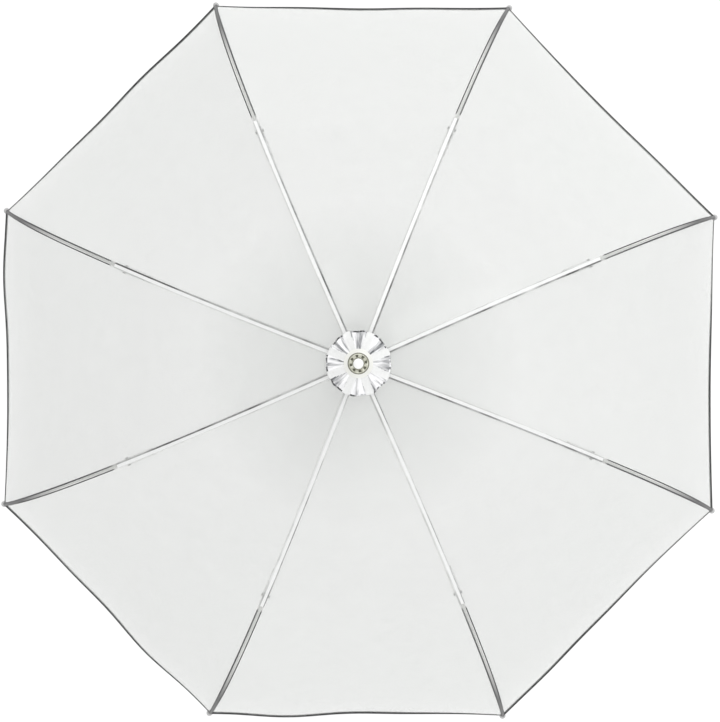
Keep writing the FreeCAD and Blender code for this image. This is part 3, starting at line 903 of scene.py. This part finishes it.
bpy.ops.mesh.extrude_region_move(
    TRANSFORM_OT_translate={"value": (0, 0, -cap["pocketDepth"])})
crownCap.active_material_index = 2
bpy.ops.object.material_slot_assign()
bpy.ops.object.mode_set(mode="OBJECT")
withModifier(crownCap, "BEVEL", width=0.00018, segments=2, limit_method="ANGLE",
             angle_limit=math.radians(40))
smoothByAngle(crownCap, 35)
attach(crownCap, "root")
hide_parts("top_cap")

ferruleLow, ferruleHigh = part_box("ferrule_tip")
ferrule = {"radius": ferruleHigh.x, "round": 0.0040, "roundSteps": 9,
           "groove": 0.0004, "grooves": (0.0036, 0.0072)}
foot, top = ferruleLow.z, ferruleHigh.z
wide, slim = ferrule["radius"], ferrule["radius"] - ferrule["groove"]
ferruleOutline = [(slim, foot), (wide, foot + 0.0004)]
for height in ferrule["grooves"]:
    ferruleOutline += [
        (wide, foot + height), (slim, foot + height + 0.0004),
        (slim, foot + height + 0.0012), (wide, foot + height + 0.0016)]
for number in range(ferrule["roundSteps"]):
    angle = math.pi / 2 * number / ferrule["roundSteps"]
    ferruleOutline.append((wide - ferrule["round"] * (1 - math.cos(angle)),
                           top - ferrule["round"] * (1 - math.sin(angle))))
ferruleOutline.append((wide - ferrule["round"], top))
ferrulePiece = turnedPiece("ferrule", ferruleOutline, 56)
smoothByAngle(ferrulePiece, 40)
dress(ferrulePiece, whitePlastic)
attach(ferrulePiece, "root")
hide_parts("ferrule_tip")
print("cap and ferrule made")

# handle

gripLow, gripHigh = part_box("handle_grip")
grip = {"radius": 0.0135, "groove": 0.0005, "grooves": (0.010, 0.0125, 0.015),
        "sides": 64, "flutes": 16, "fluteDepth": 0.0006, "fluteInset": 0.0005,
        "longFace": 0.04}  # only faces taller than this are fluted
foot, top = gripLow.z, gripHigh.z
wide, slim = grip["radius"], grip["radius"] - grip["groove"]
groove = [(wide, -0.0002), (slim, 0.0002), (slim, 0.0008), (wide, 0.0012)]
gripOutline = [
    (0.0070, foot + 0.0006), (0.0075, foot), (0.0105, foot + 0.0003), (0.0124, foot + 0.0014),
    (0.0133, foot + 0.0034), (wide, foot + 0.0060)]
for height in grip["grooves"]:
    gripOutline += [(radius, foot + height + rise) for radius, rise in groove]
for height in grip["grooves"][::-1]:
    gripOutline += [(radius, top - height - rise) for radius, rise in groove[::-1]]
gripOutline += [
    (wide, top - 0.0020), (wide - 0.0006, top - 0.0008), (wide - 0.0018, top - 0.0001),
    (wide - 0.0040, top)]
gripPiece = turnedPiece("grip", gripOutline, grip["sides"])
openForEdit()
bpy.ops.mesh.select_mode(type="FACE")
bpy.ops.mesh.select_all(action="DESELECT")
bpy.ops.object.mode_set(mode="OBJECT")
perFlute = grip["sides"] // grip["flutes"]
for face in gripPiece.data.polygons:
    heights = [gripPiece.data.vertices[corner].co.z for corner in face.vertices]
    long = max(heights) - min(heights) > grip["longFace"]
    face.select = long and sideNumber(face, grip["sides"]) % perFlute < perFlute - 1
bpy.ops.object.mode_set(mode="EDIT")
bpy.ops.mesh.inset(thickness=grip["fluteInset"])
bpy.ops.transform.shrink_fatten(value=-grip["fluteDepth"])
bpy.ops.object.mode_set(mode="OBJECT")
withModifier(gripPiece, "BEVEL", width=0.0003, segments=2, limit_method="ANGLE",
             angle_limit=math.radians(25))
smoothByAngle(gripPiece, 35)
gripPlastic = finish("gripPlastic", {
    "colour": (0.84, 0.84, 0.83), "shade": (0.77, 0.77, 0.76), "grain": 1100, "clouds": 60,
    "rough": (0.3, 0.5), "relief": 0.35, "worn": (0.6, 0.6, 0.58), "wear": 0.25})
dress(gripPiece, gripPlastic)
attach(gripPiece, "root")
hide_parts("handle_grip")

collarLow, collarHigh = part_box("handle_collar")
foot, top = collarLow.z, collarHigh.z
collarOutline = [(0.0082, foot), (0.0090, foot + 0.0004), (0.0090, foot + 0.0028),
                 (0.0085, foot + 0.0032), (0.0085, foot + 0.0040), (0.0088, foot + 0.0044),
                 (0.0078, foot + 0.0090), (0.0068, foot + 0.0130), (0.0063, top - 0.0012),
                 (0.0060, top - 0.0004), (0.0055, top)]
collarPiece = turnedPiece("grip_collar", collarOutline, 56)
smoothByAngle(collarPiece, 35)
dress(collarPiece, whitePlastic)
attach(collarPiece, "root")
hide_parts("handle_collar")
print("handle made")

# finishes for the working parts

worksIn = [("shaft_tube", shaftSteel), ("crown_notch", whitePlastic), ("runner_wire", wireSteel),
           ("crown_wire", wireSteel), ("runner", whitePlastic), ("top_catch", wireSteel),
           ("lower_catch", wireSteel), ("inner_rib_", ribPaint), ("stretcher_", ribPaint),
           ("rib_joint_", sleevePlastic)]
for name, node in frame["nodes"].items():
    for start, material in worksIn:
        if name == start or (start.endswith("_") and name.startswith(start)):
            dress(node, material)
print("frame finishes set")

# floor, light and camera

stand = {"size": 30.0, "below": 0.0005}
clearSelection()
floorHeight = cadBox[0].z - stand["below"]
bpy.ops.mesh.primitive_plane_add(size=stand["size"], location=(0, 0, floorHeight))
floor = nameIt("floor")
floorPale = finish("floorPale", {
    "colour": (0.94, 0.94, 0.94), "shade": (0.90, 0.90, 0.90), "grain": 40, "clouds": 2,
    "rough": (0.7, 0.9), "relief": 0.05, "wear": 0.0})
dress(floor, floorPale)

world = bpy.data.worlds.new("studio")
bpy.context.scene.world = world
world.use_nodes = True
world.node_tree.nodes["Background"].inputs["Color"].default_value = (1, 1, 1, 1)
world.node_tree.nodes["Background"].inputs["Strength"].default_value = 1.0

lamps = [("softboxKey", (1.5, 3.8, 2.6), 3.0, 72), ("softboxFill", (0.6, -3.5, 3.2), 3.0, 34)]
lampsFace = Vector((0, 0, 0.4))
for name, place, size, power in lamps:
    clearSelection()
    bpy.ops.object.light_add(type="AREA", location=place)
    lamp = bpy.context.active_object
    lamp.name = name
    lamp.data.shape = "SQUARE"
    lamp.data.size = size
    lamp.data.energy = power
    lamp.rotation_euler = (lampsFace - Vector(place)).to_track_quat("-Z", "Y").to_euler()
    lamp.visible_camera = False

view = {"above": 4.5, "aside": (0.009, 0.030), "aim": (0.0005, -0.0002),
        "tipPast": 0.003, "tipShare": 1.068,  # the tips stand this far from the middle of the view
        "sensor": 36, "roll": math.radians(0.54)}
eye = Vector((*view["aside"], ribPivot.z + view["above"]))
aim = Vector((*view["aim"], rodEnd.z))
tipRadius = rodEnd.xy.length + view["tipPast"]
clearSelection()
bpy.ops.object.camera_add(location=eye)
camera = bpy.context.active_object
camera.name = "camera"
look = (aim - eye).normalized()
camera.rotation_euler = (math.asin(look.y), -math.asin(look.x), view["roll"])
camera.data.sensor_width = view["sensor"]
camera.data.lens = view["tipShare"] * view["sensor"] / 2 * (eye.z - rodEnd.z) / tipRadius
camera.data.clip_end = 100
bpy.context.scene.camera = camera
bpy.context.scene.view_settings.view_transform = "Standard"
print("camera lens", round(camera.data.lens, 1))
